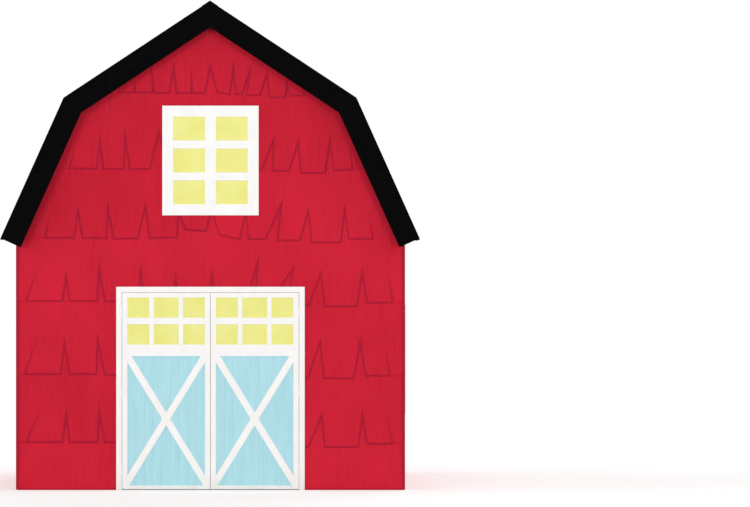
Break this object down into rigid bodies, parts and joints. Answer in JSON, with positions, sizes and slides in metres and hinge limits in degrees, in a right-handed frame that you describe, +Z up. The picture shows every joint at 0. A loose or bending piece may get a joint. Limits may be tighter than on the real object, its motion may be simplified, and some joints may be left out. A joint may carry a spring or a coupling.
{
  "type": "gambrel-roofed timber barn",
  "caption": "Small red barn with a black gambrel roof, shake-clad walls, a boarded loft, paned windows and a pair of glazed, cross-braced doors in the front gable.",
  "frame": {"origin": "on the ground, in the middle of the barn's plan", "axes": "+Z up, +Y from the front gable towards the rear one, along the ridge, +X to the right as seen from the front"},
  "size_m": [6.42, 8.6, 7.5224],
  "materials": {
    "red_cladding": "crimson painted shakes",
    "black_roofing": "black stained shingles",
    "black_trim": "black painted boards",
    "white_trim": "white painted joinery",
    "blue_boards": "pale blue painted boards",
    "yellow_glass": "pale yellow obscured glass",
    "bare_timber": "sawn softwood",
    "concrete": "trowelled concrete"
  },
  "bodies": {
    "barn": {"ground_floor": "concrete", "front_wall_left": "red_cladding", "front_wall_right": "red_cladding", "front_gable": "red_cladding", "back_wall": "red_cladding", "back_gable": "red_cladding", "left_wall": "red_cladding", "right_wall": "red_cladding", "loft_ledgers": "bare_timber", "loft_joists": "bare_timber", "loft_floor": "bare_timber", "ridge_board": "bare_timber", "left_lower_rafters": "bare_timber", "left_upper_rafters": "bare_timber", "right_upper_rafters": "bare_timber", "right_lower_rafters": "bare_timber", "left_lower_roof": "black_roofing", "left_upper_roof": "black_roofing", "right_upper_roof": "black_roofing", "right_lower_roof": "black_roofing", "ridge_cap": "black_trim", "front_rake_left": "black_trim", "front_rake_right": "black_trim", "back_rake_left": "black_trim", "back_rake_right": "black_trim", "eave_fascias": "black_trim", "door_jambs": "white_trim", "door_head": "white_trim", "loft_window_frame": "white_trim", "loft_window_glass": "yellow_glass", "back_window_frames": "white_trim", "back_window_glass": "yellow_glass", "left_window_frames": "white_trim", "left_window_glass": "yellow_glass", "right_window_frames": "white_trim", "right_window_glass": "yellow_glass"},
    "left_door": {"left_door_frame": "white_trim", "left_door_panel": "blue_boards", "left_door_brace": "white_trim", "left_door_glass": "yellow_glass"},
    "right_door": {"right_door_frame": "white_trim", "right_door_panel": "blue_boards", "right_door_brace": "white_trim", "right_door_glass": "yellow_glass"}
  },
  "joints": [
    {"name": "left_door_hinge", "type": "hinge", "parent": "barn", "child": "left_door", "pos_m": [-1.3645, -4.058, 1.5], "axis": [0, 0, -1], "range_deg": [0, 170]},
    {"name": "right_door_hinge", "type": "hinge", "parent": "barn", "child": "right_door", "pos_m": [1.3645, -4.058, 1.5], "axis": [0, 0, 1], "range_deg": [0, 170]}
  ]
}
